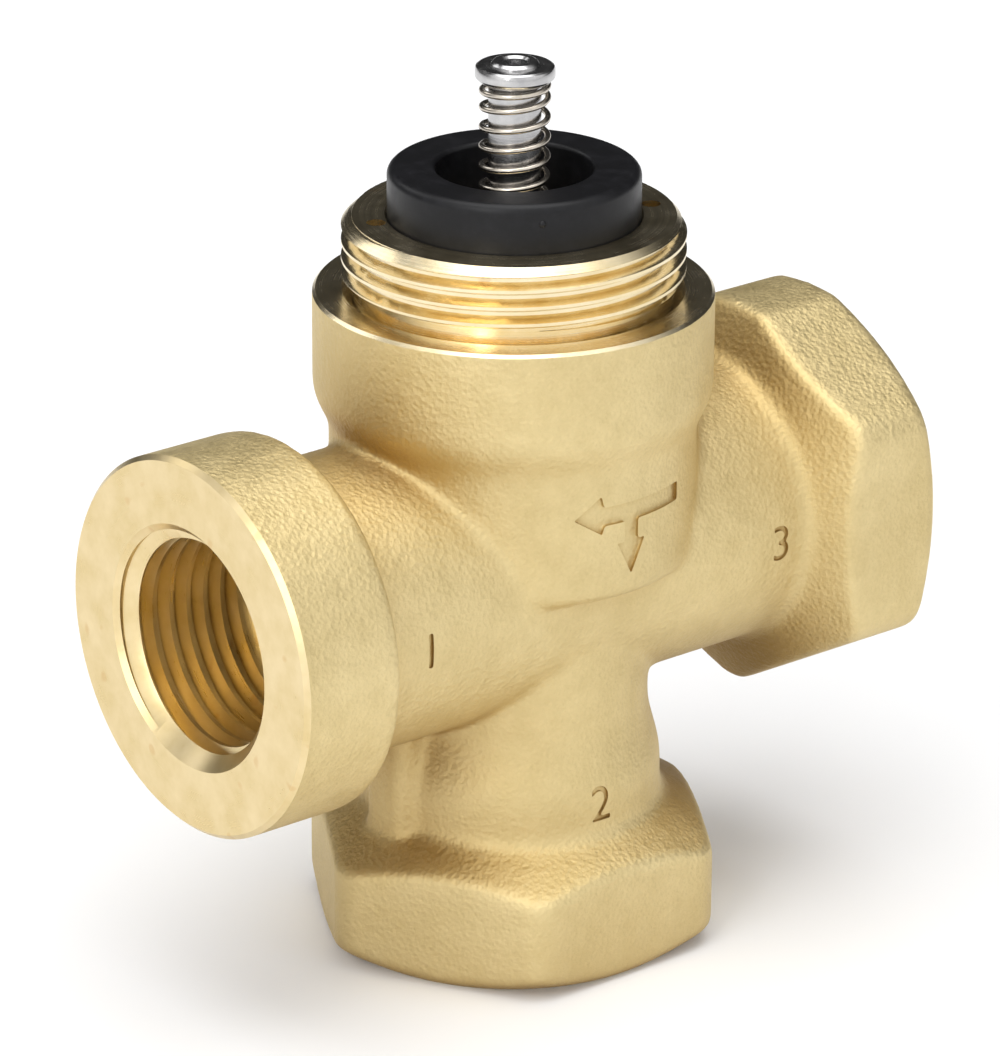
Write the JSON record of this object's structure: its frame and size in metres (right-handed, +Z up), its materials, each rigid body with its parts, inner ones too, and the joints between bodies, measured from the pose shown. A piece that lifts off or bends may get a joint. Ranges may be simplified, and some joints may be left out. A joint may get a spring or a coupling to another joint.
{
  "type": "three-port heating zone valve",
  "caption": "Brass three-port zone valve body with internally threaded ports, sprung lift spindle and external thread for a screw-on actuator.",
  "frame": {"origin": "centre of the face of port B, on the spindle's axis, where the valve stands", "axes": "+Z up along the spindle's axis, +X along the straight way from port A to port AB, +Y to the back"},
  "size_m": [0.071, 0.035, 0.0804],
  "materials": {
    "cast_brass": "forged and blasted, matt, machined bright on port A's face and in the port mouths",
    "machined_brass": "turned, bright, with fine turning marks",
    "steel": "turned stainless steel",
    "spring_steel": "drawn stainless spring wire, warm grey",
    "black_plastic": "satin moulded plastic",
    "white_plastic": "low-friction plastic",
    "rubber": "matt EPDM rubber"
  },
  "bodies": {
    "valve": {"valve_body": "cast_brass", "seat_cage": "machined_brass", "cage_o_ring": "rubber", "bonnet": "machined_brass", "bonnet_o_ring": "rubber", "guide_bush": "white_plastic", "gland_washer": "steel", "stem_o_ring_lower": "rubber", "o_ring_spacer": "white_plastic", "stem_o_ring_upper": "rubber", "gland_nut": "machined_brass", "guide_ring": "black_plastic", "spring_seat": "steel", "return_spring": "spring_steel"},
    "spindle_group": {"spindle": "steel", "spindle_cap": "steel", "plug_washer_upper": "steel", "plug_seal_upper": "rubber", "plug_carrier": "machined_brass", "plug_seal_lower": "rubber", "plug_washer_lower": "steel", "plug_nut": "steel"}
  },
  "joints": [
    {"name": "spindle_slide", "type": "slide", "parent": "valve", "child": "spindle_group", "axis": [0, 0, -1], "range_m": [0, 0.0025], "stiffness_N_per_m": 550, "springref_m": -0.007, "deforming": ["return_spring"]}
  ]
}
